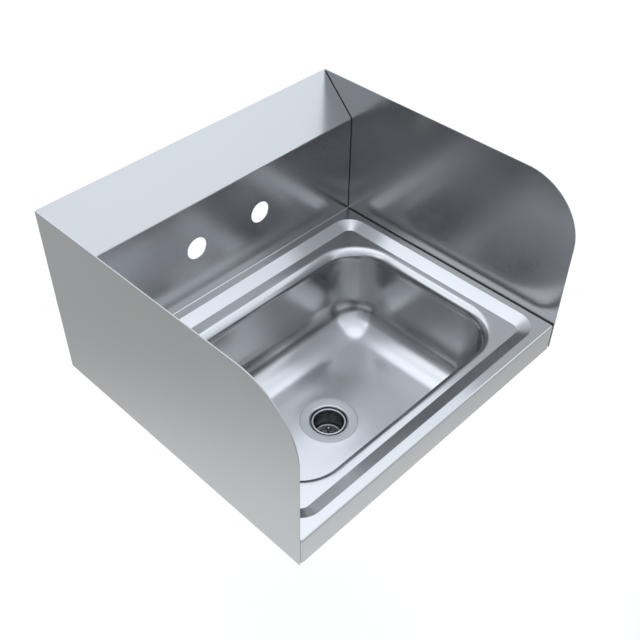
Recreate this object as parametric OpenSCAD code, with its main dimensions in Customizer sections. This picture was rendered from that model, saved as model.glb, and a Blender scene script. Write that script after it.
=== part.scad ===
// Wall-hung hand wash sink, folded and drawn from stainless sheet.
// The wall is the plane y = 0 and the sink stands out from it towards -Y, with +X to the
// right and +Z up. The origin lies on the wall, midway across the sink, on the line of the
// wall bracket's screws. Heights in the modules are measured from the top of the deck, and
// hung() lowers each sub-part to its place below the bracket.

/* [Overall] */
// Width over the two side splashes
sink_w = 431.8; // [428:0.1:460]
// Depth from the wall to the face of the apron
sink_d = 387.35; // [385:0.05:410]
// Height of the splashes above the deck
splash_h = 190.5; // [185:0.5:200]
// Drop of the apron and the side skirts below the deck
apron_h = 38.1; // [36:0.1:60]
// Thickness of the folded sheet
sheet = 1.2; // [1:0.1:1.4]
// Radius of the front top corner of a side splash
splash_corner = 76.2; // [30:0.1:120]

/* [Backsplash] */
// Distance from the wall to the face of the backsplash
backsplash_gap = 50; // [48:0.5:55]
// Height of the fold where the backsplash turns back to the wall
fold_h = 139.7; // [135:0.1:145]
// Distance between the two faucet holes
faucet_spacing = 101.6; // [80:0.1:203.2]
// Diameter of a faucet hole
faucet_hole_d = 28.6; // [20:0.1:36]
// Height of the faucet holes above the deck
faucet_h = 76.2; // [50:0.1:95]

/* [Deck] */
// Width of the level strip between the slope and the apron or the backsplash
strip_w = 12; // [10:0.5:13]
// Width of the level strip between the slope and a side edge
side_strip_w = 10.5; // [8:0.5:12.5]
// Width of the no-drip slope
slope_w = 16.3; // [14:0.1:18]
// Drop of the no-drip slope
slope_drop = 7; // [4:0.1:8]
// Outer corner radius of the no-drip slope
slope_corner = 28; // [26:0.5:40]
// Radius of the bent edges seen from above
edge_r = 2.4; // [2:0.1:2.8]

/* [Bowl] */
// Width of the mouth, where the rim starts to roll over
mouth_w = 367; // [350:0.5:368]
// Front to back length of the mouth
mouth_l = 264.5; // [250:0.5:266]
// Corner radius of the mouth
mouth_corner = 65; // [65:0.5:75]
// Distance from the wall to the centre of the bowl
bowl_y = 222.25; // [220:0.05:223]
// Depth of the bowl's floor below the deck
bowl_depth = 133; // [115:0.5:160]
// Radius of the rolled rim
rim_r = 12.7; // [10:0.1:13.5]
// Slope of the drawn walls, in degrees
draft = 2; // [1:0.5:3]
// Radius between wall and floor
floor_r = 48; // [25:0.5:48]
// Thickness of the drawn sheet
bowl_sheet = 1; // [0.8:0.1:1.1]

/* [Drain] */
// Radius of the drain flange
flange_r = 36.9; // [34:0.1:37]
// Radius of the throat inside the flange
throat_r = 23.3; // [23:0.1:23.6]
// Radius of the straight thread below the bowl
thread_r = 24.13; // [24:0.01:24.5]
// Bore of the drain body below the cup's shelf
drain_bore_r = 20.45; // [20.3:0.05:21]
// Length of the drain body below the floor
drain_h = 46; // [42:0.5:60]
// Outer radius of the waste tube
tube_r = 19.05; // [16:0.05:19.2]
// Length of the waste tube with its flange
tube_l = 101.6; // [60:0.1:160]

/* [Strainer cup] */
// Outer radius of the cup's lip
lip_r = 21.8; // [21.5:0.1:22]
// Inner radius of the cup
cup_r = 19.3; // [18.5:0.1:19.4]
// Depth of the cup below its lip
cup_h = 28.2; // [20:0.1:30]
// Radius of the ball on the lifting post
ball_r = 3; // [2.5:0.1:4]

/* [Wall hanging] */
// Height of the bracket's screw line above the deck
hang_line = 153; // [152:0.5:154]
// Length of the wall bracket
bracket_l = 330.2; // [320:0.1:360]
// Distance between the outer two bracket screws
outer_screws = 304.8; // [200:0.1:310]
// Distance between the inner two bracket screws
inner_screws = 101.6; // [60:0.1:180]
// Diameter of the wall screw holes
wall_hole_d = 6.8; // [4:0.1:8]

/* [Hidden] */
$fn = 96;

// Colours of the finishes
satin = [0.72, 0.73, 0.75];
drawn = [0.66, 0.68, 0.70];
plated = [0.80, 0.80, 0.78];
polished = [0.82, 0.83, 0.85];
black_rubber = [0.08, 0.08, 0.08];
grey_fibre = [0.45, 0.45, 0.42];
white_plastic = [0.90, 0.90, 0.88];

// Across the sink
left = -1;
right = 1;
joint = 1;
panel_in = sink_w / 2 - sheet;
deck_half = panel_in - joint;

// Inside radius where the deck turns up, and the upright corners of the apron
heel_r = 1.6;
pan_corner = edge_r + 0.6;

// No-drip slope
slope_half_x = deck_half - side_strip_w;
slope_front = sink_d - strip_w;
slope_back = backsplash_gap + strip_w;
slope_half_y = (slope_front - slope_back) / 2;
slope_y = -(slope_front + slope_back) / 2;

// Return from the fold to the wall
return_angle = atan2(splash_h - fold_h, backsplash_gap);
fold_inset = sheet * tan((90 - return_angle) / 2);
return_drop = sheet / cos(return_angle);

// Rolled rim, down to the seam with the bowl
rim_lip = 1.7;
rim_hidden = rim_r - sheet;
seam_lap = 2.1;
bowl_top = slope_drop + rim_r + rim_lip - seam_lap;

// Drawn wall of the bowl, followed along its outer face
wall_straight = 6;
draft_r = 2;
draft_outer = draft_r + bowl_sheet;
floor_outer = floor_r + bowl_sheet;
wall_drop = bowl_depth + bowl_sheet - bowl_top - wall_straight
    - draft_outer * sin(draft) - floor_outer * (1 - sin(draft));
wall_run = wall_drop / cos(draft);
wall_start = rim_hidden - bowl_sheet;
floor_inset = wall_start + draft_outer * (1 - cos(draft)) + wall_run * sin(draft)
    + floor_outer * cos(draft);

// Seat of the drain in the floor
seat_r = flange_r + 0.5;
seat_drop = 2.4;
seat_shoulder = 3.6;
seat_rim_r = seat_r + seat_shoulder;
drain_hole_r = 26;

// Drain stack below the bowl, from the floor down
seal_t = 0.5;
seal_r = flange_r - 0.9;
flange_under = seat_drop - seal_t;
neck_r = 25.6;
gasket_top = seat_drop + bowl_sheet;
gasket_t = 3.2;
neck_bottom = gasket_top + 2;
ring_top = gasket_top + gasket_t;
ring_t = 1.2;
ring_r = flange_r - 3;
ring_gap = 0.2;
locknut_top = ring_top + ring_t;
locknut_h = 8;
locknut_flat_r = 30;
thread_gap = 0.07;

// Waste tube and its nut
tube_wall = 0.9;
washer_t = 2;
tube_top = drain_h + washer_t;
tube_flange_t = 1.5;
tube_flange_r = 22.6;
nut_grip = 12;
nut_top = drain_h - nut_grip;
nut_web = 3;
nut_bottom = tube_top + tube_flange_t + nut_web;
nut_flat_r = 28.5;
tube_gap = 0.3;

// Cup and its shelf in the drain body
lip_top = 2.4;
cup_sheet = 0.8;
shelf = lip_top + cup_sheet;
shelf_r = 21.4;
groove_depth = 6.5;
cup_floor = lip_top + cup_h;
// Rings of strainer holes, as [number of holes, radius of the ring]
cup_hole_r = 1.6;
cup_holes = [[8, 7.2], [12, 12.6]];
stem_r = 1.5;
rivet_r = 2.6;
rivet_h = 0.8;
ball_rise = 13.7;

// Side splash fasteners, as [y, height] on the panel
stud_r = 2.5;
stud_l = 12;
stud_hole_r = 3;
stud_drop = 20;
stud_from_front = 37;
stud_from_back = 45;
stud_low = 40;
stud_high = 105;
stud_washer_r = 6.5;
stud_washer_t = 1;
stud_nut_flat_r = 4;
stud_nut_h = 4;
flange_back = 28;
flange_mid = (backsplash_gap + flange_back) / 2;
splash_points = [
    [-sink_d + stud_from_front, -stud_drop],
    [-bowl_y, -stud_drop],
    [-backsplash_gap - stud_from_back, -stud_drop],
    [-flange_mid, stud_low],
    [-flange_mid, stud_high]
];

// Hanging parts
rail_sheet = 1.5;
rail_l = 342.9;
bracket_sheet = 2;
bracket_foot = 13;
bracket_rise = 15;
bracket_lip_h = 11;
bracket_bottom = hang_line - bracket_foot;
bracket_ledge = hang_line + bracket_rise;
bracket_slot = 2.2;
bracket_lip = bracket_ledge + bracket_lip_h;
tab_sheet = 1.6;
tab_w = 26;
tab_h = 28;
tab_screw_x = 200;

// Puts a sub-part drawn from the deck's level at its place below the bracket
module hung() {
    translate([0, 0, -hang_line]) children();
}

// Shared shapes

// Part of a ring between two directions less than 180 degrees apart
module ring_sector(inner, outer, from, to) {
    reach = 2 * outer;
    middle = (from + to) / 2;
    intersection() {
        difference() {
            circle(r = outer);
            if (inner > 0) circle(r = inner);
        }
        polygon([
            [0, 0],
            reach * [cos(from), sin(from)],
            reach * [cos(middle), sin(middle)],
            reach * [cos(to), sin(to)]
        ]);
    }
}

// Edge view of a folded sheet. It starts along +X with the sheet on its left, and each
// move is [straight run, turn in degrees with left positive, inside radius of the turn].
module folded_strip(thickness, moves, step = 0) {
    run = moves[step][0];
    turn = moves[step][1];
    inside = moves[step][2];
    centre = turn > 0 ? thickness + inside : -inside;
    if (run > 0) square([run, thickness]);
    translate([run, centre]) {
        if (turn > 0) ring_sector(inside, inside + thickness, -90, turn - 90);
        if (turn < 0) ring_sector(inside, inside + thickness, 90 + turn, 90);
        if (step + 1 < len(moves))
            rotate(turn) translate([0, -centre]) folded_strip(thickness, moves, step + 1);
    }
}

// Rectangle with round corners, centred on the origin
module round_rect(half_x, half_y, corner) {
    square([2 * half_x, 2 * (half_y - corner)], center = true);
    square([2 * (half_x - corner), 2 * half_y], center = true);
    for (sx = [-1, 1], sy = [-1, 1])
        translate([sx * (half_x - corner), sy * (half_y - corner)]) circle(r = corner);
}

// Carries a 2-D edge view around a round-cornered outline. In the edge view +X is the
// distance inwards from the outline and +Y is up.
module around(half_x, half_y, corner) {
    run_x = half_x - corner;
    run_y = half_y - corner;
    for (turn = [0, 180]) rotate([0, 0, turn]) {
        translate([-run_x, -half_y, 0]) rotate([90, 0, 90]) linear_extrude(2 * run_x) children();
        translate([-half_x, run_y, 0]) rotate([90, 0, 0]) linear_extrude(2 * run_y) children();
        translate([run_x, run_y, 0])
            rotate_extrude(angle = 90) translate([corner, 0]) mirror([1, 0]) children();
        translate([-run_x, run_y, 0]) rotate([0, 0, 90])
            rotate_extrude(angle = 90) translate([corner, 0]) mirror([1, 0]) children();
    }
}

// Extrudes an edge view, drawn as [y, height], evenly to both sides of the centre
module across(length) {
    translate([-length / 2, 0, 0]) rotate([90, 0, 90]) linear_extrude(length) children();
}

// Turns a profile, drawn as [radius, height from the bowl's floor], around the drain's axis
module at_drain() {
    translate([0, -bowl_y, -bowl_depth]) rotate_extrude() children();
}

// Washer or ring around the drain's axis, from a depth below the floor downwards
module drain_ring(inner, outer, top, height) {
    at_drain() translate([inner, -top - height]) square([outer - inner, height]);
}

// Hexagonal prism with its outer corners turned down at 30 degrees, bottom face on the XY
// plane. flat_r is half the distance across the flats.
module chamfered_hex(flat_r, height) {
    corner_r = flat_r / cos(30);
    clear_r = corner_r + 0.1;
    chamfer = (clear_r - flat_r) * tan(30);
    intersection() {
        cylinder(r = corner_r, h = height, $fn = 6);
        rotate_extrude() polygon([
            [0, 0],
            [flat_r, 0],
            [clear_r, chamfer],
            [clear_r, height - chamfer],
            [flat_r, height],
            [0, height]
        ]);
    }
}

// Puts its children at each side splash fastener, with +Z pointing from the panel inwards
module at_splash_points(side) {
    for (point = splash_points)
        translate([side * panel_in, point[0], point[1]]) rotate([0, -90 * side, 0]) children();
}

// Deck sheet

// Outline of the no-drip slope, moved inwards by a distance
module slope_outline(inset) {
    translate([0, slope_y]) round_rect(slope_half_x - inset, slope_half_y - inset, slope_corner - inset);
}

// Outline of the bowl's mouth, moved inwards by a distance
module mouth_outline(inset) {
    translate([0, -bowl_y])
        round_rect(mouth_w / 2 - inset, mouth_l / 2 - inset, mouth_corner - inset);
}

// Level strip, apron and side skirts, with the edge bent down on three sides
module pan() {
    half_y = sink_d / 2;
    difference() {
        union() {
            translate([0, -half_y, 0]) around(deck_half, half_y, pan_corner) {
                translate([0, -apron_h]) square([sheet, apron_h - edge_r]);
                translate([edge_r, -edge_r]) ring_sector(edge_r - sheet, edge_r, 90, 180);
            }
            translate([0, 0, -sheet]) linear_extrude(sheet) difference() {
                translate([0, -half_y])
                    round_rect(deck_half - edge_r, half_y - edge_r, pan_corner - edge_r);
                slope_outline(0);
            }
        }
        translate([-sink_w, -backsplash_gap - heel_r, -sink_d]) cube([2 * sink_w, sink_d, 2 * sink_d]);
    }
}

// Slope down from the strip, the level ledge inside it and the rim that rolls into the bowl
module no_drip_edge() {
    translate([0, slope_y, 0]) around(slope_half_x, slope_half_y, slope_corner) polygon([
        [0, 0],
        [slope_w, -slope_drop],
        [slope_w, -slope_drop - sheet],
        [0, -sheet]
    ]);
    translate([0, 0, -slope_drop - sheet]) linear_extrude(sheet) difference() {
        slope_outline(slope_w);
        mouth_outline(0);
    }
    translate([0, -bowl_y, -slope_drop - rim_r]) around(mouth_w / 2, mouth_l / 2, mouth_corner) {
        ring_sector(rim_hidden, rim_r, 0, 90);
        translate([rim_hidden, -rim_lip]) square([sheet, rim_lip]);
    }
}

// Backsplash and return, with the flanges that hold the side splashes
module back_sheet() {
    flange_bottom = 8;
    flange_top = fold_h - 10;
    across(2 * deck_half) {
        translate([-backsplash_gap - heel_r, heel_r]) ring_sector(heel_r, heel_r + sheet, -90, 0);
        polygon([
            [-backsplash_gap, heel_r],
            [-backsplash_gap, fold_h],
            [0, splash_h],
            [0, splash_h - return_drop],
            [-backsplash_gap + sheet, fold_h - fold_inset],
            [-backsplash_gap + sheet, heel_r]
        ]);
    }
    for (side = [left, right]) translate([side * (deck_half - sheet / 2), 0, 0])
        across(sheet) translate([-backsplash_gap + sheet, flange_bottom])
            square([backsplash_gap - sheet - flange_back, flange_top - flange_bottom]);
}

module deck() {
    color(satin) hung() difference() {
        union() {
            pan();
            no_drip_edge();
            back_sheet();
        }
        for (side = [left, right]) {
            translate([side * faucet_spacing / 2, -backsplash_gap - sheet, faucet_h])
                rotate([-90, 0, 0]) cylinder(d = faucet_hole_d, h = 4 * sheet);
            at_splash_points(side) cylinder(r = stud_hole_r, h = joint + 2 * sheet);
        }
    }
}

// Drawn bowl

// Seat pressed into the floor for the drain flange, as [radius, height]
module seat_profile() {
    lead_w = 0.7;
    lead_h = 0.9;
    polygon([
        [seat_rim_r, 0],
        [seat_r + lead_w, 0],
        [seat_r, -lead_h],
        [seat_r, -seat_drop],
        [drain_hole_r, -seat_drop],
        [drain_hole_r, -seat_drop - bowl_sheet],
        [seat_r + bowl_sheet, -seat_drop - bowl_sheet],
        [seat_r + bowl_sheet, -bowl_sheet],
        [seat_rim_r, -bowl_sheet]
    ]);
}

module bowl() {
    // The flat floor reaches a little way under the end of the wall's radius
    floor_lap = 0.5;
    color(drawn) hung() {
        translate([0, -bowl_y, 0]) around(mouth_w / 2, mouth_l / 2, mouth_corner)
            translate([wall_start, -bowl_top]) rotate(-90) folded_strip(bowl_sheet, [
                [wall_straight, draft, draft_r],
                [wall_run, 90 - draft, floor_r]
            ]);
        translate([0, 0, -bowl_depth - bowl_sheet]) linear_extrude(bowl_sheet) difference() {
            mouth_outline(floor_inset - floor_lap);
            translate([0, -bowl_y]) circle(r = seat_rim_r);
        }
        at_drain() seat_profile();
    }
}

// Side splashes

// Side splash outline, as [y, height]
module splash_outline() {
    translate([-sink_d, -apron_h]) square([sink_d, apron_h + splash_h - splash_corner]);
    translate([-sink_d + splash_corner, 0]) square([sink_d - splash_corner, splash_h]);
    translate([-sink_d + splash_corner, splash_h - splash_corner]) circle(r = splash_corner);
}

module side_splash(side) {
    color(satin) hung() translate([side * (panel_in + sheet / 2), 0, 0]) across(sheet) splash_outline();
}

module left_side_splash() {
    side_splash(left);
}

module right_side_splash() {
    side_splash(right);
}

// Joint gaskets

// Gasket outline, as [y, height], a little below the visible edge of the deck sheet
module gasket_outline() {
    set_back = 0.8;
    band = 12;
    front = -sink_d + edge_r + 1;
    bottom = -apron_h + 4;
    upright = -backsplash_gap + set_back;
    // Height of the gasket's top edge along the return
    function return_edge(y) = fold_h + (y + backsplash_gap) * tan(return_angle)
        - set_back / cos(return_angle);
    difference() {
        polygon([
            [front, bottom],
            [-flange_back, bottom],
            [-flange_back, return_edge(-flange_back) - band],
            [-set_back, return_edge(-set_back) - band],
            [-set_back, return_edge(-set_back)],
            [upright, return_edge(upright)],
            [upright, -set_back],
            [front, -set_back]
        ]);
        for (point = splash_points) translate(point) circle(r = stud_hole_r);
    }
}

module joint_gasket(side) {
    color(black_rubber) hung() translate([side * (deck_half + joint / 2), 0, 0])
        across(joint) gasket_outline();
}

module left_joint_gasket() {
    joint_gasket(left);
}

module right_joint_gasket() {
    joint_gasket(right);
}

// Side splash fasteners

module splash_studs(side) {
    color(plated) hung() at_splash_points(side) cylinder(r = stud_r, h = stud_l);
}

module splash_washers(side) {
    bore_r = stud_r + 0.2;
    color(plated) hung() at_splash_points(side) translate([0, 0, joint + sheet]) difference() {
        cylinder(r = stud_washer_r, h = stud_washer_t);
        translate([0, 0, -stud_washer_t]) cylinder(r = bore_r, h = 3 * stud_washer_t);
    }
}

module splash_nuts(side) {
    under = joint + sheet + stud_washer_t;
    color(plated) hung() at_splash_points(side) translate([0, 0, under]) difference() {
        chamfered_hex(stud_nut_flat_r, stud_nut_h);
        translate([0, 0, -1]) cylinder(r = stud_r + thread_gap, h = stud_nut_h + 2);
    }
}

module left_splash_studs() {
    splash_studs(left);
}

module right_splash_studs() {
    splash_studs(right);
}

module left_splash_washers() {
    splash_washers(left);
}

module right_splash_washers() {
    splash_washers(right);
}

module left_splash_nuts() {
    splash_nuts(left);
}

module right_splash_nuts() {
    splash_nuts(right);
}

// Hanging parts

// Strip welded under the return, whose lower leg stands in the wall bracket's slot
module hang_rail() {
    leg = 24;
    rail_r = 1;
    outer = rail_sheet + rail_r;
    // The bend is tangent to the hidden face of the return and to the wall
    bend_z = splash_h - outer * tan(return_angle) - return_drop - outer / cos(return_angle);
    color(satin) hung() across(rail_l) translate([-outer, bend_z]) {
        ring_sector(rail_r, outer, 0, 90 + return_angle);
        translate([rail_r, bracket_ledge - bend_z]) square([rail_sheet, bend_z - bracket_ledge]);
        rotate(return_angle) translate([-leg, rail_r]) square([leg, rail_sheet]);
    }
}

// Offset strip screwed to the wall. The rail's leg stands on its ledge, behind its lip.
module wall_bracket() {
    color(plated) hung() difference() {
        across(bracket_l) polygon([
            [0, bracket_bottom],
            [0, bracket_ledge],
            [-bracket_slot, bracket_ledge],
            [-bracket_slot, bracket_lip],
            [-bracket_slot - bracket_sheet, bracket_lip],
            [-bracket_slot - bracket_sheet, bracket_ledge - bracket_sheet],
            [-bracket_sheet, bracket_ledge - bracket_sheet],
            [-bracket_sheet, bracket_bottom]
        ]);
        for (x = [-outer_screws, -inner_screws, inner_screws, outer_screws] / 2)
            translate([x, -2 * bracket_sheet, hang_line]) rotate([-90, 0, 0])
                cylinder(d = wall_hole_d, h = 3 * bracket_sheet);
    }
}

// Angles low on the side splashes, each with a hole for a wall screw
module wall_tabs() {
    color(satin) hung() for (side = [left, right]) mirror([side < 0 ? 1 : 0, 0, 0]) difference() {
        translate([0, 0, -stud_drop - tab_h / 2]) linear_extrude(tab_h) {
            translate([panel_in - tab_sheet, -tab_w]) square([tab_sheet, tab_w]);
            translate([panel_in - tab_w, -tab_sheet]) square([tab_w, tab_sheet]);
        }
        translate([tab_screw_x, -2 * tab_sheet, -stud_drop]) rotate([-90, 0, 0])
            cylinder(d = wall_hole_d, h = 3 * tab_sheet);
    }
}

// Drain

module drain_body() {
    edge_top = 0.15;
    dish = 0.5;
    roll = 2.2;
    color(polished) hung() at_drain() {
        polygon([
            [drain_bore_r, -drain_h],
            [thread_r, -drain_h],
            [thread_r, -neck_bottom],
            [neck_r, -neck_bottom],
            [neck_r, -flange_under],
            [flange_r, -flange_under],
            [flange_r, -edge_top],
            [throat_r + roll, -dish],
            [throat_r + roll, -dish - roll],
            [throat_r, -dish - roll],
            [throat_r, -groove_depth],
            [shelf_r, -groove_depth],
            [shelf_r, -shelf],
            [drain_bore_r, -shelf]
        ]);
        translate([throat_r + roll, -dish - roll]) ring_sector(0, roll, 90, 180);
    }
}

module flange_seal() {
    color(black_rubber) hung() drain_ring(drain_hole_r, seal_r, flange_under, seal_t);
}

module drain_gasket() {
    color(black_rubber) hung() drain_ring(neck_r + ring_gap, seal_r, gasket_top, gasket_t);
}

module friction_ring() {
    color(grey_fibre) hung() drain_ring(thread_r + ring_gap, ring_r, ring_top, ring_t);
}

module locknut() {
    color(plated) hung() translate([0, -bowl_y, -bowl_depth - locknut_top - locknut_h]) difference() {
        chamfered_hex(locknut_flat_r, locknut_h);
        translate([0, 0, -1]) cylinder(r = thread_r + thread_gap, h = locknut_h + 2);
    }
}

// Strainer cup

module strainer_cup() {
    // Hole that the post is riveted in
    hub_r = stem_r + 0.1;
    lip_inside = 0.3;
    lip_roll = lip_inside + cup_sheet;
    corner = 3;
    color(polished) hung() difference() {
        at_drain() translate([lip_r, -lip_top]) rotate(180) folded_strip(cup_sheet, [
            [lip_r - cup_r - lip_roll, 90, lip_inside],
            [cup_h - lip_roll - corner, -90, corner],
            [cup_r - corner - hub_r, 0, 0]
        ]);
        for (ring = cup_holes, k = [0 : ring[0] - 1])
            translate([0, -bowl_y, -bowl_depth - cup_floor - 2 * cup_sheet])
                rotate([0, 0, 360 * k / ring[0]]) translate([ring[1], 0, 0])
                    cylinder(r = cup_hole_r, h = 3 * cup_sheet);
    }
}

module strainer_post() {
    collar_r = 3.2;
    collar_h = 1;
    bottom = -cup_sheet - rivet_h;
    color(polished) hung() translate([0, -bowl_y, -bowl_depth - cup_floor]) {
        translate([0, 0, bottom]) cylinder(r = rivet_r, h = rivet_h);
        translate([0, 0, bottom]) cylinder(r = stem_r, h = ball_rise - bottom);
        cylinder(r = collar_r, h = collar_h);
        translate([0, 0, ball_rise]) sphere(r = ball_r);
    }
}

// Waste tube

module tailpiece() {
    bore = tube_r - tube_wall;
    under_flange = tube_top + tube_flange_t;
    // The neck is a little wider where the flange was formed, down to just below the nut
    neck_swell = 0.2;
    neck_end = nut_bottom + 0.5;
    color(polished) hung() at_drain() polygon([
        [bore, -tube_top],
        [tube_flange_r, -tube_top],
        [tube_flange_r, -under_flange],
        [tube_r + neck_swell, -under_flange],
        [tube_r, -neck_end],
        [tube_r, -tube_top - tube_l],
        [bore, -tube_top - tube_l]
    ]);
}

module tailpiece_washer() {
    color(white_plastic) hung() drain_ring(tube_r, tube_flange_r, drain_h, washer_t);
}

module coupling_nut() {
    height = nut_bottom - nut_top;
    color(polished) hung() translate([0, -bowl_y, -bowl_depth - nut_bottom]) difference() {
        chamfered_hex(nut_flat_r, height);
        translate([0, 0, nut_web]) cylinder(r = thread_r + thread_gap, h = height);
        translate([0, 0, -1]) cylinder(r = tube_r + tube_gap, h = height);
    }
}

deck();
bowl();
left_side_splash();
right_side_splash();
left_joint_gasket();
right_joint_gasket();
left_splash_studs();
right_splash_studs();
left_splash_washers();
right_splash_washers();
left_splash_nuts();
right_splash_nuts();
hang_rail();
wall_bracket();
wall_tabs();
drain_body();
flange_seal();
drain_gasket();
friction_ring();
locknut();
strainer_cup();
strainer_post();
tailpiece();
tailpiece_washer();
coupling_nut();
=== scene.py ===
"""Looks of a wall-hung stainless steel hand wash sink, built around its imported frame.

All sizes are in metres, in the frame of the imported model: the wall is y = 0, the sink stands out
towards -Y, +X is to the right and +Z is up. Grids of points are worked out with numpy, rows by
columns, and welded into meshes.
"""

import logging
import math
from dataclasses import dataclass
from enum import Enum
from functools import lru_cache
from typing import Optional, Sequence

import bmesh
import bpy
import numpy as np
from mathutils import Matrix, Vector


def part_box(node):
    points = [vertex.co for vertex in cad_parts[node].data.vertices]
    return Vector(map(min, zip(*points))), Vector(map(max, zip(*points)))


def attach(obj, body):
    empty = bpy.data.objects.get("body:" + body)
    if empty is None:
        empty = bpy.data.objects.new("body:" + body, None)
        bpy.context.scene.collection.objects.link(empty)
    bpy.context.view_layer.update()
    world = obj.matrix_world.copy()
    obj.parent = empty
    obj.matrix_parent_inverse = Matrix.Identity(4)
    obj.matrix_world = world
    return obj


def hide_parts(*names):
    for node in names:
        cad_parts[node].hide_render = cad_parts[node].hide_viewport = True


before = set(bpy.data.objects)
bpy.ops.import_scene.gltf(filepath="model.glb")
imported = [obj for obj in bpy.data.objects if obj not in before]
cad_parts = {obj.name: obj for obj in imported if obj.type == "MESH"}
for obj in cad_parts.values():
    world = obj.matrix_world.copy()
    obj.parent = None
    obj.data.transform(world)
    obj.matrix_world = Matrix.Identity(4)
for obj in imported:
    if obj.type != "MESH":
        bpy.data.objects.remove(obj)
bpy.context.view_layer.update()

Points = np.ndarray
Pair = tuple[float, float]
Triple = tuple[float, float, float]
Piece = bpy.types.Object
Socket = bpy.types.NodeSocket
log = logging.getLogger("sink")


class Side(Enum):
    """A side of the sink, as the sign of X."""

    LEFT = -1
    RIGHT = 1

    def __str__(self) -> str:
        """The side as the names of pieces and nodes have it."""
        return self.name.lower()


# Shapes

def headings(angle: Points) -> Points:
    """Unit vectors (cos, sin) of angles in radians."""
    return np.stack([np.cos(angle), np.sin(angle)], axis=-1)


def full_turn(steps: int) -> Points:
    """Evenly spaced angles around a circle, in radians, with the last left to the first."""
    return np.linspace(0, 2 * math.pi, steps, endpoint=False)


def around(radius: Points, angle: Points, height: Points) -> Points:
    """Points at radius times (cos, sin) of an angle and at a height, broadcast to one grid."""
    return np.stack(np.broadcast_arrays(radius * np.cos(angle), radius * np.sin(angle), height),
                    axis=-1)


def arc(centre: Pair, radius: float, start: float, stop: float, steps: int) -> Points:
    """Points on a circle: centre plus radius times (cos, sin) of evenly spaced angles.

    Args:
        centre: Centre of the circle.
        radius: Radius of the circle.
        start: First angle, in degrees.
        stop: Last angle, in degrees.
        steps: Number of steps between them.

    Returns:
        An array of steps + 1 rows of two coordinates.
    """
    return np.array(centre) + radius * headings(np.radians(np.linspace(start, stop, steps + 1)))


def rounded(corners: Sequence[Triple], steps: int = 6, closed: bool = False) -> Points:
    """Replaces the corners of a line by arcs that touch both of their sides.

    The arc at a corner with turn t starts radius * tan(t / 2) before the corner, and its centre
    lies on the corner's bisector at a distance of radius / cos(t / 2).

    Args:
        corners: Rows of two coordinates and the corner's radius, 0 for a sharp one.
        steps: Steps along each arc.
        closed: True if the last corner joins the first.

    Returns:
        The rounded line, one row per point.
    """
    table = np.array(corners, float)
    points, radii, count = table[:, :2], table[:, 2], len(table)
    pieces = []
    for i, (corner, radius) in enumerate(zip(points, radii)):
        if radius <= 0 or (not closed and i in (0, count - 1)):
            pieces.append(corner[None])
            continue
        before = points[i - 1] - corner
        after = points[(i + 1) % count] - corner
        before /= np.linalg.norm(before)
        after /= np.linalg.norm(after)
        half_turn = (math.pi - math.acos(np.clip(before @ after, -1, 1))) / 2
        bisector = (before + after) / np.linalg.norm(before + after)
        centre = corner + bisector * radius / math.cos(half_turn)
        first = corner + before * radius * math.tan(half_turn) - centre
        last = corner + after * radius * math.tan(half_turn) - centre
        share = np.linspace(0, 1, steps + 1)[:, None]
        whole = 2 * half_turn
        swept = np.sin((1 - share) * whole) * first + np.sin(share * whole) * last
        pieces.append(centre + swept / math.sin(whole))
    return np.vstack(pieces)


def stretch(stops: Sequence[float], steps: Sequence[int]) -> Points:
    """Evenly spaced values between neighbouring stops, with the stops kept."""
    parts = [np.linspace(a, b, n, endpoint=False) for a, b, n in zip(stops, stops[1:], steps)]
    return np.concatenate(parts + [np.array([stops[-1]])])


def lathe(profile: Points, steps: int = 96) -> Points:
    """Turns rows of (radius, height) around the upright axis at the origin.

    Args:
        profile: Rows of radius and height.
        steps: Steps around the axis.

    Returns:
        A grid of points, profile rows by steps, whose columns close on themselves.
    """
    return around(profile[:, :1], full_turn(steps), profile[:, 1:])


def washer(inner: float, outer: float, first: float, second: float, steps: int = 96) -> Points:
    """Flat ring between two radii and two heights, a grid that closes both ways."""
    section = [(inner, first), (outer, first), (outer, second), (inner, second)]
    return lathe(np.array(section), steps)


def thread(radius: float, depth: float, pitch: float, bottom: float, top: float,
           steps: int = 72, per_turn: int = 10) -> Points:
    """Screw thread on the upright axis at the origin.

    The radius falls from the crest by depth times a triangle wave of height over pitch minus
    angle over a full turn. The wave is cut off flat at crest and root, and fades out at both ends.

    Args:
        radius: Radius of the crest.
        depth: Depth of the thread.
        pitch: Rise in one turn.
        bottom: Height at which it starts.
        top: Height at which it ends.
        steps: Steps around the axis.
        per_turn: Rows in one pitch.

    Returns:
        A grid of points, rows from bottom to top by steps.
    """
    swing, crest = 1.25, 0.1
    rows = max(2, int(per_turn * (top - bottom) / pitch))
    height = np.linspace(bottom, top, rows)[:, None]
    angle = full_turn(steps)
    phase = height / pitch - angle / (2 * math.pi)
    wave = np.clip(swing * np.abs(2 * (phase - np.floor(phase)) - 1) - crest, 0, 1)
    fade = np.clip(np.minimum(height - bottom, top - height) / pitch, 0, 1)
    return around(radius - depth * wave * fade, angle, height)


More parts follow.
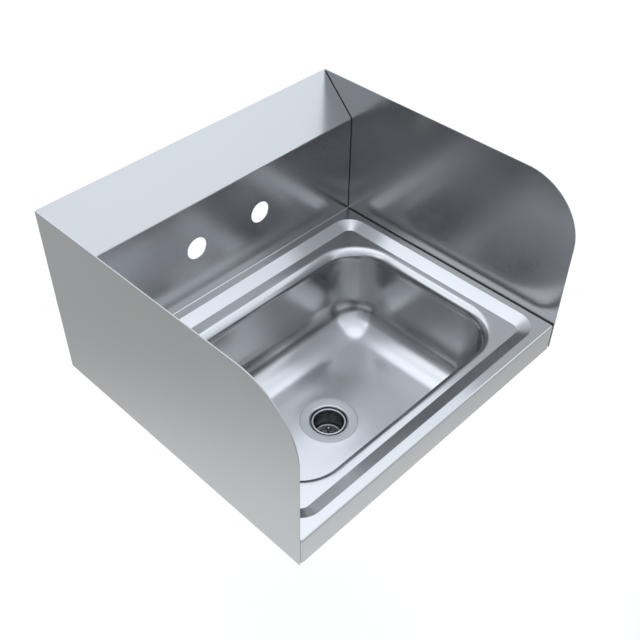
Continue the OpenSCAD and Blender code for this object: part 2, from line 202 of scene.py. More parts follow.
def hexagon(flat: float, bore: float, bottom: float, top: float, turn: float = 0,
            steps: int = 12) -> Points:
    """Hexagonal ring on the upright axis at the origin, with its corners turned down.

    At each angle the outside lies at flat / cos(angle within the side), and the chamfer meets it
    where a 30 degree cone does that starts just inside the flats.

    Args:
        flat: Half the distance across the flats.
        bore: Radius of the bore.
        bottom: Height of the lower face.
        top: Height of the upper face.
        turn: Angle from +X to the middle of a side, in degrees.
        steps: Steps along each side, an even number.

    Returns:
        A grid of points that closes both ways.
    """
    face, start = 0.985 * flat, 0.98 * flat
    angle = full_turn(6 * steps)
    within = (angle + math.pi / 6) % (math.pi / 3) - math.pi / 6
    outside = flat / np.cos(within)
    chamfer = (outside - start) * math.tan(math.radians(30))
    same = np.ones_like(angle)
    radius = np.stack([bore * same, face * same, outside, outside, face * same, bore * same])
    low, high = bottom * same, top * same
    height = np.stack([low, low, low + chamfer, high - chamfer, high, high])
    return around(radius, angle + math.radians(turn), height)


def round_hole(cell: Points, radius: float, middle: Optional[Points] = None) -> Points:
    """Draws the edge of a square of points in to a circle, along straight lines.

    Each point of the circle lies at the radius from the middle, towards its point of the edge.

    Args:
        cell: Square grid of points with two or three coordinates.
        radius: Radius of the hole.
        middle: Centre of the hole. It is the mean of the edge's points if left out.

    Returns:
        A grid from the square's edge to the circle, whose columns close on themselves.
    """
    edge = np.vstack([cell[0, :-1], cell[:-1, -1], cell[-1, :0:-1], cell[:0:-1, 0]])
    if middle is None:
        middle = edge.mean(0)
    spoke = edge - middle
    circle = middle + spoke * radius / np.linalg.norm(spoke, axis=1, keepdims=True)
    return edge + np.linspace(0, 1, 4)[:, None, None] * (circle - edge)


@dataclass(frozen=True)
class RoundRing:
    """Order of points that all the sink's round-cornered rectangles share.

    The points go counter-clockwise seen from above and start in the middle of the right back
    corner, so that the n-th points of two rectangles lie beside each other.
    """

    corner: int = 16
    side_x: int = 40
    side_y: int = 28

    def _pattern(self) -> tuple[Points, Points]:
        """Works out where a ring's points lie, whatever its size.

        Returns:
            Where each point's corner centre lies, from -1 to 1 along x and y, and its direction
            from there.
        """
        signs = np.array([[1, 1], [-1, 1], [-1, -1], [1, -1]], float)
        centres, angles = [], []
        half = self.corner // 2
        for k in range(4):
            first, second = signs[k], signs[(k + 1) % 4]
            run = self.side_x if k % 2 == 0 else self.side_y
            share = np.linspace(0, 1, run, endpoint=False)[:, None]
            end = 90.0 * (k + 1)
            centres += [np.repeat(first[None], half, 0), first + share * (second - first),
                        np.repeat(second[None], half, 0)]
            angles += [np.linspace(end - 45, end, half, endpoint=False), np.full(run, end),
                       np.linspace(end, end + 45, half, endpoint=False)]
        return np.vstack(centres), headings(np.radians(np.concatenate(angles)))

    def rings(self, half_x: Points, half_y: Points, corner: Points, centre_y: Points,
              height: Points) -> Points:
        """Rings of round-cornered rectangles, one for each row of the arguments.

        Args:
            half_x: Half widths.
            half_y: Half depths.
            corner: Corner radii.
            centre_y: Where the centres lie along Y.
            height: Heights.

        Returns:
            A grid of points, rings by points, whose columns close on themselves.
        """
        centres, direction = self._pattern()
        half_x, half_y, corner, centre_y, height = (
            a[:, None] for a in np.broadcast_arrays(half_x, half_y, corner, centre_y, height))
        x = centres[:, 0] * (half_x - corner) + corner * direction[:, 0]
        y = centre_y + centres[:, 1] * (half_y - corner) + corner * direction[:, 1]
        return np.stack([x, y, height + 0 * x], axis=-1)


# Meshes

class Skin:
    """Gathers grids and rings of points into one welded mesh."""

    def __init__(self) -> None:
        """Starts empty."""
        self._points: list[Points] = []
        self._faces: list[list[int]] = []
        self._count = 0

    def _take(self, points: Points) -> int:
        """Keeps points.

        Args:
            points: The points, in an array of any shape.

        Returns:
            The number of the first.
        """
        start = self._count
        flat = points.reshape(-1, 3)
        self._points.append(flat)
        self._count += len(flat)
        return start

    def grid(self, points: Points, close_rows: bool = False, close_columns: bool = False) -> None:
        """Adds a grid as four-sided faces.

        Args:
            points: The grid, rows by columns by three coordinates.
            close_rows: True if the last row joins the first.
            close_columns: True if the last column joins the first.
        """
        rows, columns = points.shape[:2]
        index = np.arange(rows * columns).reshape(rows, columns) + self._take(points)
        if close_rows:
            index = np.vstack([index, index[:1]])
        if close_columns:
            index = np.hstack([index, index[:, :1]])
        quads = np.stack([index[:-1, :-1], index[1:, :-1], index[1:, 1:], index[:-1, 1:]], axis=-1)
        self._faces += quads.reshape(-1, 4).tolist()

    def cap(self, ring: Points) -> None:
        """Adds one flat face inside a ring of points."""
        start = self._take(ring)
        self._faces.append(list(range(start, start + len(ring))))

    def object(self, name: str, facing: Optional[Triple] = None) -> Piece:
        """Welds what was gathered and makes it an object.

        Args:
            name: Name of the piece.
            facing: For an open sheet, the way that its outer side faces on the whole. A closed
                shell leaves it out.

        Returns:
            The new object, smooth shaded, at the origin.
        """
        mesh = bpy.data.meshes.new(name)
        mesh.from_pydata(np.vstack(self._points), [], self._faces)
        work = bmesh.new()
        work.from_mesh(mesh)
        bmesh.ops.remove_doubles(work, verts=work.verts, dist=2e-6)
        bmesh.ops.dissolve_degenerate(work, edges=work.edges, dist=1e-7)
        bmesh.ops.recalc_face_normals(work, faces=work.faces)
        work.to_mesh(mesh)
        work.free()
        if facing is not None:
            count = len(mesh.polygons)
            normal, area = np.empty(count * 3), np.empty(count)
            mesh.polygons.foreach_get("normal", normal)
            mesh.polygons.foreach_get("area", area)
            if (normal.reshape(-1, 3) * area[:, None]).sum(0) @ np.array(facing) < 0:
                mesh.flip_normals()
        mesh.polygons.foreach_set("use_smooth", np.ones(len(mesh.polygons), bool))
        piece = bpy.data.objects.new(name, mesh)
        bpy.context.scene.collection.objects.link(piece)
        return piece


def weld(name: str, *grids: Points, close_rows: bool = False, caps: Sequence[Points] = (),
         facing: Optional[Triple] = None) -> Piece:
    """Makes one piece of grids whose columns close on themselves.

    Args:
        name: Name of the piece.
        grids: The grids.
        close_rows: True if each grid's last row joins its first.
        caps: Rings of points, each filled by a flat face.
        facing: The way that an open sheet's outer side faces.

    Returns:
        The new object.
    """
    skin = Skin()
    for grid in grids:
        skin.grid(grid, close_rows, close_columns=True)
    for ring in caps:
        skin.cap(ring)
    return skin.object(name, facing)


def plate(name: str, side: Side, outline: Points, near: float, far: float, edge: float) -> Piece:
    """Makes a flat plate that stands across X, with its edges rounded.

    The outline is moved inwards along its own normals by edge times (1 - sin a) while the depth
    moves by edge times (1 - cos a), with a from 0 to 90 degrees at each face.

    Args:
        name: Name of the piece.
        side: The side of the sink that it stands on.
        outline: Closed outline of (y, z), counter-clockwise.
        near: Distance of the first face from the middle.
        far: Distance of the second face.
        edge: Radius of the edges.

    Returns:
        The new object, a closed shell.
    """
    along = np.roll(outline, -1, 0) - np.roll(outline, 1, 0)
    along /= np.linalg.norm(along, axis=1, keepdims=True)
    outward = np.stack([along[:, 1], -along[:, 0]], axis=-1)
    angle = np.radians(np.linspace(0, 90, 4))
    inset, depth = edge * (1 - np.sin(angle)), edge * (1 - np.cos(angle))
    insets = np.concatenate([inset, inset[::-1]])
    depths = np.concatenate([near + depth, far - depth[::-1]])
    flat = outline - insets[:, None, None] * outward
    across = np.broadcast_to(side.value * depths[:, None], flat.shape[:2])
    grid = np.dstack([across, flat])
    return weld(name, grid, caps=[grid[0], grid[-1]])


def thicken(piece: Piece, thickness: float, edge: float = 0.00018) -> None:
    """Gives an open sheet its thickness, behind its outer side, and breaks its cut edges.

    Args:
        piece: The sheet.
        thickness: Its thickness.
        edge: Width of the rounding.
    """
    solid = piece.modifiers.new("thickness", "SOLIDIFY")
    solid.thickness = thickness
    solid.offset = -1
    solid.use_even_offset = True
    soften(piece, edge)


def soften(piece: Piece, edge: float, angle: float = 50, segments: int = 2) -> None:
    """Rounds edges sharper than an angle, and shades flat faces flat up to the rounding.

    Args:
        piece: The piece.
        edge: Width of the rounding.
        angle: Least turn between two faces that is rounded, in degrees.
        segments: Faces across the rounding.
    """
    bevel = piece.modifiers.new("edges", "BEVEL")
    bevel.width = edge
    bevel.segments = segments
    bevel.limit_method = "ANGLE"
    bevel.angle_limit = math.radians(angle)
    even_shading(piece)


def even_shading(piece: Piece) -> None:
    """Weights the normals by face area, so that flat faces stay flat beside small radii.

    Args:
        piece: The piece.
    """
    shade = piece.modifiers.new("shading", "WEIGHTED_NORMAL")
    shade.mode = "FACE_AREA"
    shade.weight = 100


@dataclass(frozen=True)
class HoleRow:
    """Round holes in a row across a flat stretch of a band."""

    centres: tuple[float, ...]
    radius: float
    margin: float
    steps: int = 10

    def stops(self) -> list[Pair]:
        """Where the square around each hole starts and ends across the band."""
        return [(c - self.margin, c + self.margin) for c in self.centres]


@dataclass(frozen=True)
class Band:
    """Sheet that follows a path and is straight across it, with a row of holes.

    A point at distance u across the band and at (p, q) on its path lies at
    u * across + p * first + q * second.
    """

    across: Triple
    first: Triple
    second: Triple

    def place(self, u: Points, path: Points) -> Points:
        """Carries the path across the band.

        Args:
            u: Stations across the band.
            path: Points along the band, as rows of p and q.

        Returns:
            A grid of points, path rows by stations.
        """
        return (u[None, :, None] * np.array(self.across)
                + path[:, None, :1] * np.array(self.first)
                + path[:, None, 1:] * np.array(self.second))

    def stations(self, ends: Pair, holes: HoleRow, runs: Sequence[int]) -> Points:
        """Stations across the band that match the squares around its holes.

        Args:
            ends: First and last station.
            holes: The row of holes.
            runs: Steps before, between and after the squares.

        Returns:
            The stations in order.
        """
        stops, steps = [ends[0]], []
        for run, (low, high) in zip(runs, holes.stops()):
            stops += [low, high]
            steps += [run, holes.steps]
        return stretch(stops + [ends[1]], steps + [runs[-1]])

    def skin(self, skin: Skin, u: Points, path: Points, row: int, holes: HoleRow) -> list[Points]:
        """Adds the band to a skin, with its holes left open.

        Args:
            skin: Takes the grids.
            u: Stations across the band.
            path: Points along the band.
            row: Row of the path where the squares around the holes start.
            holes: The row of holes.

        Returns:
            The ring of points around each hole.
        """
        whole = self.place(u, path)
        last = row + holes.steps
        skin.grid(whole[:row + 1])
        skin.grid(whole[last:])
        start, rings = 0, []
        for low, _ in holes.stops():
            left = int(np.argmin(np.abs(u - low)))
            right = left + holes.steps
            skin.grid(whole[row:last + 1, start:left + 1])
            hole = round_hole(whole[row:last + 1, left:right + 1], holes.radius)
            skin.grid(hole, close_columns=True)
            rings.append(hole[-1])
            start = right
        skin.grid(whole[row:last + 1, start:])
        return rings


ALONG_X = Band((1, 0, 0), (0, 1, 0), (0, 0, 1))


# Sizes that several sub-assemblies share

@dataclass(frozen=True)
class Layout:
    """Places taken from the frame, and the few sizes that its boxes don't show."""

    sheet: float = 0.0012
    deck_top: float = -0.153
    bowl_depth: float = 0.133
    bowl_y: float = -0.22225
    gap: float = 0.050
    fold: float = 0.1397
    flange_behind: float = 0.028
    joint: float = 0.001
    drop: float = 0.007
    mouth: Pair = (0.1835, 0.13225)
    mouth_corner: float = 0.065
    rim: float = 0.0127
    lip: float = 0.0017
    thread_slack: float = 0.00007

    @property
    def half_width(self) -> float:
        """Half the width of the deck sheet."""
        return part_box("deck")[1].x

    @property
    def front(self) -> float:
        """Face of the apron, along Y."""
        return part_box("deck")[0].y

    @property
    def return_top(self) -> float:
        """Height of the return's upper side at the wall."""
        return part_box("deck")[1].z

    @property
    def return_slope(self) -> float:
        """Rise of the return for each metre towards the wall."""
        return (self.return_top - self.deck_top - self.fold) / self.gap

    @property
    def return_under(self) -> float:
        """Height of the return's underside at the wall."""
        return self.return_top - self.sheet * math.hypot(1, self.return_slope)

    @property
    def panel_inside(self) -> float:
        """Inner face of a side splash, along X."""
        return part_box("right_side_splash")[0].x

    @property
    def floor(self) -> float:
        """Height of the bowl's floor."""
        return self.deck_top - self.bowl_depth

    @property
    def drain(self) -> Pair:
        """Axis of the drain, as x and y."""
        return 0.0, self.bowl_y


LAYOUT = Layout()


# Finishes

class Grain(Enum):
    """Direction of the polishing lines, as the stretch of the pattern along X, Y and Z."""

    ACROSS = (0.012, 1.0, 1.0)
    DEPTH = (1.0, 0.012, 1.0)
    NONE = (1.0, 1.0, 1.0)


class Nodes:
    """Short way to build the nodes of a material or a world."""

    def __init__(self, owner: bpy.types.ID, output: str = "ShaderNodeOutputMaterial") -> None:
        """Takes over a node tree, with nothing in it but an output.

        Args:
            owner: The material or world.
            output: Type of its output node.
        """
        owner.use_nodes = True
        self._tree = owner.node_tree
        self._tree.nodes.clear()
        self._output = self.add(output)

    def add(self, kind: str, inputs: Optional[dict] = None, **settings: object) -> bpy.types.Node:
        """Adds a node.

        Args:
            kind: The node's type.
            inputs: For the name or number of an input, the socket to link or the value to set.
            settings: The node's properties.

        Returns:
            The new node.
        """
        node = self._tree.nodes.new(kind)
        for name, value in settings.items():
            setattr(node, name, value)
        for name, value in (inputs or {}).items():
            if isinstance(value, Socket):
                self._tree.links.new(value, node.inputs[name])
            else:
                node.inputs[name].default_value = value
        return node

    def end(self, shader: bpy.types.Node) -> None:
        """Links a shader to the output."""
        self._tree.links.new(shader.outputs[0], self._output.inputs["Surface"])

    def place(self, kind: str = "Object") -> Socket:
        """Texture coordinates of one kind."""
        return self.add("ShaderNodeTexCoord").outputs[kind]

    def noise(self, scale: float, stretch_by: Triple = (1, 1, 1), detail: float = 3,
              roughness: float = 0.55) -> Socket:
        """Noise on Object coordinates.

        Args:
            scale: Scale of the noise.
            stretch_by: Factors on the coordinates. A small one draws the noise out along its axis.
            detail: Octaves of the noise.
            roughness: Share of the finer octaves.

        Returns:
            The noise, mostly from 0.3 to 0.7.
        """
        place = self.add("ShaderNodeMapping", {"Vector": self.place(), "Scale": stretch_by})
        pattern = {"Vector": place.outputs["Vector"], "Scale": scale, "Detail": detail,
                   "Roughness": roughness}
        return self.add("ShaderNodeTexNoise", pattern).outputs["Fac"]

    def ramp(self, value: Socket, source: Pair, target: Pair = (0, 1), kind: str = "LINEAR") -> Socket:
        """Carries values over from one range to another, and holds them at its ends.

        Args:
            value: The values.
            source: Their range.
            target: The range that they are carried to.
            kind: Map Range's name for the curve between the ends.

        Returns:
            The new values.
        """
        ends = {"Value": value, "From Min": source[0], "From Max": source[1],
                "To Min": target[0], "To Max": target[1]}
        return self.add("ShaderNodeMapRange", ends, interpolation_type=kind).outputs["Result"]

    def spread(self, noise: Socket, low: float, high: float) -> Socket:
        """Carries the middle of a noise's values over to the range from low to high."""
        return self.ramp(noise, (0.3, 0.7), (low, high))

    def math(self, operation: str, *values: object) -> Socket:
        """One step of a sum, with sockets or numbers."""
        return self.add("ShaderNodeMath", dict(enumerate(values)), operation=operation).outputs[0]

    def along(self, kind: str, way: Triple) -> Socket:
        """Dot product of texture coordinates and a direction."""
        return self.add("ShaderNodeVectorMath", {0: self.place(kind), 1: way},
                        operation="DOT_PRODUCT").outputs["Value"]

    def tint(self, value: Socket, low: Triple, high: Triple) -> Socket:
        """Mixes two colours by a value."""
        ends = {"A": (*low, 1), "B": (*high, 1), "Factor": value}
        return self.add("ShaderNodeMix", ends, data_type="RGBA").outputs["Result"]

    def mottle(self, value: Socket, colour: Triple, share: float) -> Socket:
        """Lets a colour grow darker and lighter by a share, with a value from 0 to 1."""
        low, high = (tuple(c * (1 + way * share) for c in colour) for way in (-1, 1))
        return self.tint(value, low, high)

    def stain(self, colour: Socket, clouds: Socket, level: float, tone: float) -> Socket:
        """Paints shade into a colour: darkens it down to a tone where a point lies deep under a level,
        as the drain's hollows fall into shade.

        The share falls smoothly from 1 to the tone between two depths, which the clouds shift.

        Args:
            colour: The colour.
            clouds: Noise that makes the edge uneven.
            level: Height above which nothing changes.
            tone: Share of the colour that is left below.

        Returns:
            The darkened colour.
        """
        shallow, deep, sway = 0.0022, 0.005, 0.001
        parts = self.add("ShaderNodeSeparateXYZ", {"Vector": self.place()})
        height = self.math("ADD", parts.outputs["Z"], self.math("MULTIPLY", clouds, sway))
        share = self.ramp(height, (level - deep, level - shallow), (tone, 1), "SMOOTHSTEP")
        return self.add("ShaderNodeVectorMath", {"Vector": colour, "Scale": share},
                        operation="SCALE").outputs["Vector"]

    def bump(self, height: Socket, distance: float) -> Socket:
        """Bump of a height times a distance."""
        full = {"Height": height, "Distance": distance, "Strength": 1.0}
        return self.add("ShaderNodeBump", full).outputs["Normal"]

    def surface(self, **inputs: object) -> None:
        """Ends in a Principled surface. Sockets are linked, numbers set on the shader's own."""
        named = {name.replace("_", " "): value for name, value in inputs.items()}
        self.end(self.add("ShaderNodeBsdfPrincipled", named))


@dataclass(frozen=True)
class Steel:
    """Polished or satin metal: fine grain lines, faint clouds from handling and, where set, painted
    shade deep in the drain.
    """

    slot: str
    colour: Triple
    roughness: float
    grain: Grain = Grain.NONE
    grain_scale: float = 1500
    grain_height: float = 0.0000006
    clouds: float = 0.03
    # Share of the colour left deep in the drain, as painted shade; 1 paints none.
    recess_shade: float = 1.0

    def paint(self, nodes: Nodes) -> None:
        """Builds the finish: lines and clouds sway roughness and colour, the lines are the bump, and
        where the finish asks for it shade is painted into the colour deep in the drain.

        Args:
            nodes: The material's nodes.
        """
        cloud_scale, line_share, mottled = 11, 0.012, 0.02
        lines = nodes.noise(self.grain_scale, self.grain.value, detail=4, roughness=0.7)
        clouds = nodes.noise(cloud_scale, detail=4)
        rough = nodes.math("ADD", nodes.spread(lines, -line_share, line_share),
                           nodes.spread(clouds, self.roughness - self.clouds,
                                        self.roughness + self.clouds))
        tone = nodes.math("MULTIPLY", nodes.math("ADD", lines, clouds), 0.5)
        colour = nodes.mottle(nodes.spread(tone, 0, 1), self.colour, mottled)
        # Painted shade: darker colour deep under the bowl's floor, where the drain's hollows lie in
        # shade.
        if self.recess_shade < 1:
            colour = nodes.stain(colour, clouds, LAYOUT.floor, self.recess_shade)
        nodes.surface(Base_Color=colour, Metallic=1.0, Roughness=rough,
                      Normal=nodes.bump(lines, self.grain_height))


@dataclass(frozen=True)
class Dull:
    """Rubber, fibre or plastic: fine pitting, a mottled tone and no metal."""

    slot: str
    colour: Triple
    roughness: float
    pit_scale: float = 2200
    pit_height: float = 0.00002

    def paint(self, nodes: Nodes) -> None:
        """Builds the finish: clouds sway roughness and colour, fine pits are the bump.

        Args:
            nodes: The material's nodes.
        """
        cloud_scale, rough_share, mottled = 60, 0.06, 0.2
        clouds = nodes.noise(cloud_scale, detail=3)
        nodes.surface(
            Base_Color=nodes.mottle(nodes.spread(clouds, 0, 1), self.colour, mottled),
            Roughness=nodes.spread(clouds, self.roughness - rough_share,
                                   self.roughness + rough_share),
            Normal=nodes.bump(nodes.noise(self.pit_scale, detail=2), self.pit_height))


class Finish(Enum):
    """The sink's finishes, each with the record's material slot that it belongs to."""

    SHEET_ACROSS = Steel("folded_sheet", (0.497, 0.502, 0.507), 0.22, Grain.ACROSS)
    # Same sheet as the deck in a darker tone: painted shade on the upright side panels.
    SHEET_UPRIGHT = Steel("folded_sheet", (0.442, 0.446, 0.449), 0.22, Grain.DEPTH)
    DRAWN = Steel("drawn_sheet", (0.525, 0.53, 0.535), 0.21, grain_scale=900,
                  grain_height=0.00000015)
    MILL = Steel("mill_sheet", (0.36, 0.36, 0.36), 0.42, Grain.ACROSS)
    FASTENER = Steel("stainless_fastener", (0.42, 0.42, 0.42), 0.32)
    # The drain's fittings and cup carry painted shade, darker below the bowl's floor.
    FITTING = Steel("polished_drain", (0.43, 0.435, 0.44), 0.22, grain_height=0.0000002,
                    clouds=0.02, recess_shade=0.32)
    CUP = Steel("polished_drain", (0.44, 0.455, 0.465), 0.26, grain_height=0.0000001,
                clouds=0.02, recess_shade=0.55)
    PLATED = Steel("polished_drain", (0.52, 0.52, 0.53), 0.10, grain_height=0.0000005, clouds=0.02)
    CAST = Steel("cast_nut", (0.42, 0.36, 0.24), 0.48, grain_scale=700, grain_height=0.00006)
    RUBBER = Dull("black_rubber", (0.018, 0.018, 0.018), 0.62)
    FIBRE = Dull("grey_fibre", (0.30, 0.29, 0.26), 0.8)
    PLASTIC = Dull("white_plastic", (0.80, 0.80, 0.78), 0.4, pit_height=0.000004)

    @lru_cache(maxsize=None)
    def material(self) -> bpy.types.Material:
        """Makes the finish's material when a piece first asks for it.

        Returns:
            The material.
        """
        made = bpy.data.materials.new(self.name.lower())
        self.value.paint(Nodes(made))
        return made


def dress(piece: Piece, finish: Finish, *nodes: str, body: str = "sink", slot: str = "") -> None:
    """Gives a piece its material, lets it ride on its body and stand for its CAD nodes.

    Args:
        piece: The new piece.
        finish: Its finish.
        nodes: The CAD nodes that it stands for.
        body: The CAD body that it moves with.
        slot: Not used; meant as the record's material slot, where it isn't the finish's own.
    """
    piece.data.materials.append(finish.material())
    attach(piece, body)
    if nodes:
        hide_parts(*nodes)
    log.info("%s: %d faces, on %s, for %s", piece.name, len(piece.data.polygons), body,
             ", ".join(nodes) or "itself")


# The folded deck sheet

@dataclass(frozen=True)
class Deck:
    """Folded deck sheet: apron, no-drip slope, ledge, rolled rim, backsplash and return."""

    ring: RoundRing = RoundRing()
    edge: float = 0.0024
    corner: float = 0.003
    corner_steps: int = 8
    heel: float = 0.0016
    side_strip: float = 0.0105
    strip: float = 0.012
    slope: float = 0.0163
    slope_corner: float = 0.028
    soft: float = 0.0013
    fold_radius: float = 0.003
    faucet: HoleRow = HoleRow((-0.0508, 0.0508), 0.0143, 0.022)
    faucet_height: float = 0.0762
    flange_foot: float = 0.008
    flange_head: float = 0.010
    flange_corner: float = 0.003
    flange_edge: float = 0.0003

    def _no_drip(self) -> Points:
        """Works out the slope, the ledge, the rolled rim and its lip inside the bowl.

        The slope's profile is a line with its two corners rounded. On the ledge the outline
        changes from the slope's foot to the mouth, and the rim rolls over a quarter circle.

        Returns:
            Rings of points from the head of the slope to the end of the lip.
        """
        foot = LAYOUT.deck_top - LAYOUT.drop
        profile = rounded([(-self.soft, 0, 0), (0, 0, self.soft),
                           (self.slope, -LAYOUT.drop, self.soft),
                           (self.slope + self.soft, -LAYOUT.drop, 0)])
        inset, height = profile[:-1].T
        low, high = LAYOUT.front + self.strip, -LAYOUT.gap - self.strip
        slope = self.ring.rings(LAYOUT.half_width - self.side_strip - inset,
                                (high - low) / 2 - inset, self.slope_corner - inset,
                                (high + low) / 2, LAYOUT.deck_top + height)
        roll = np.radians(np.linspace(0, 90, 17))
        into = np.append(LAYOUT.rim * np.sin(roll), LAYOUT.rim)
        down = np.append(LAYOUT.rim * (1 - np.cos(roll)), LAYOUT.rim + LAYOUT.lip)
        rim = self.ring.rings(LAYOUT.mouth[0] - into, LAYOUT.mouth[1] - into,
                              LAYOUT.mouth_corner - into, LAYOUT.bowl_y, foot - down)
        return np.concatenate([slope, rim])

    def _pan_edge(self) -> tuple[Points, Points]:
        """Path around the apron and skirts, from the back left corner to the back right one.

        Returns:
            The path on the corners' centres, and each point's direction to the outside.
        """
        bend = self.corner_steps
        straight = self.ring.corner + self.ring.side_y - bend // 2
        front = self.ring.corner + self.ring.side_x - bend
        x = LAYOUT.half_width - self.corner
        near, far = LAYOUT.front + self.corner, -LAYOUT.gap - self.heel
        steps = [straight, bend, front, bend, straight]
        across = stretch([-x, -x, -x, x, x, x], steps)
        depth = stretch([far, near, near, near, near, far], steps)
        angle = stretch([180, 180, 270, 270, 360, 360], steps)
        return np.stack([across, depth], axis=-1), headings(np.radians(angle))

    def _pan(self) -> Points:
        """Works out the apron and skirts, whose edge bends down over a quarter circle.

        Returns:
            Rows of points from the flat over the bent edge down to the foot.
        """
        centres, direction = self._pan_edge()
        turn = np.radians(np.linspace(0, 90, 9))
        reach = self.corner - self.edge * (1 - np.sin(turn))
        height = LAYOUT.deck_top - self.edge * (1 - np.cos(turn))
        foot = stretch([height[-1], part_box("deck")[0].z], [6])[1:]
        reach = np.append(reach, np.full_like(foot, reach[-1]))[:, None, None]
        height = np.append(height, foot)[:, None] + np.zeros(len(centres))
        return np.dstack([centres + reach * direction, height])

    def _back_path(self) -> tuple[Points, int]:
        """Works out the profile of the sheet behind the level strip.

        Returns:
            The path of the heel, the backsplash, the fold and the return, and the row where the
            squares around the holes start.
        """
        top, gap, below = LAYOUT.deck_top, LAYOUT.gap, 6
        heel = arc((-gap - self.heel, top + self.heel), self.heel, -90, 0, 6)
        middle = top + self.faucet_height
        low, high = middle - self.faucet.margin, middle + self.faucet.margin
        wall = rounded([(-gap, high, 0), (-gap, top + LAYOUT.fold, self.fold_radius),
                        (0, LAYOUT.return_top, 0), (0, LAYOUT.return_under, 0)], steps=8)
        rise = stretch([heel[-1, 1], low, high], [below, self.faucet.steps])[1:]
        face = np.stack([np.full_like(rise, -gap), rise], axis=-1)
        return np.vstack([heel, face, wall[1:]]), len(heel) - 1 + below

    def _stations(self) -> Points:
        """Spaces the backsplash's columns.

        Returns:
            Stations across it, as many as the level strip has points behind the slope.
        """
        inner, middle = LAYOUT.half_width - self.edge, 8
        whole = self.ring.corner + self.ring.side_x
        side = (whole - 2 * self.faucet.steps - middle) // 2
        return ALONG_X.stations((-inner, inner), self.faucet, [side, middle, side])

    def _flange(self, side: Side) -> None:
        """Builds the flange behind one end of the backsplash that holds the side splash.

        Args:
            side: The end that it is at.
        """
        front, back = LAYOUT.sheet - LAYOUT.gap, -LAYOUT.flange_behind
        low = LAYOUT.deck_top + self.flange_foot
        high = LAYOUT.deck_top + LAYOUT.fold - self.flange_head
        outline = rounded([(front, low, self.flange_edge), (back, low, self.flange_corner),
                           (back, high, self.flange_corner), (front, high, self.flange_edge)],
                          closed=True)
        outer = LAYOUT.half_width
        piece = plate(f"{side}_flange", side, outline, outer - LAYOUT.sheet, outer, edge=0.0002)
        even_shading(piece)
        dress(piece, Finish.SHEET_ACROSS)

    def build(self) -> None:
        """Builds the deck sheet, its two flanges and their finish."""
        skin = Skin()
        no_drip, pan, inner = self._no_drip(), self._pan(), self._stations()
        skin.grid(no_drip, close_columns=True)
        skin.grid(pan)
        path, row = self._back_path()
        outer = LAYOUT.half_width
        ALONG_X.skin(skin, np.concatenate([[-outer], inner, [outer]]), path, row, self.faucet)
        behind = ALONG_X.place(inner[::-1], path[:1])[0]
        border = np.vstack([behind[:-1], pan[0, :-1]])
        skin.grid(np.stack([no_drip[0], border]), close_columns=True)
        piece = skin.object("folded_deck", facing=(0, -1, 1))
        thicken(piece, LAYOUT.sheet)
        dress(piece, Finish.SHEET_ACROSS, "deck")
        for side in Side:
            self._flange(side)


# The drawn bowl

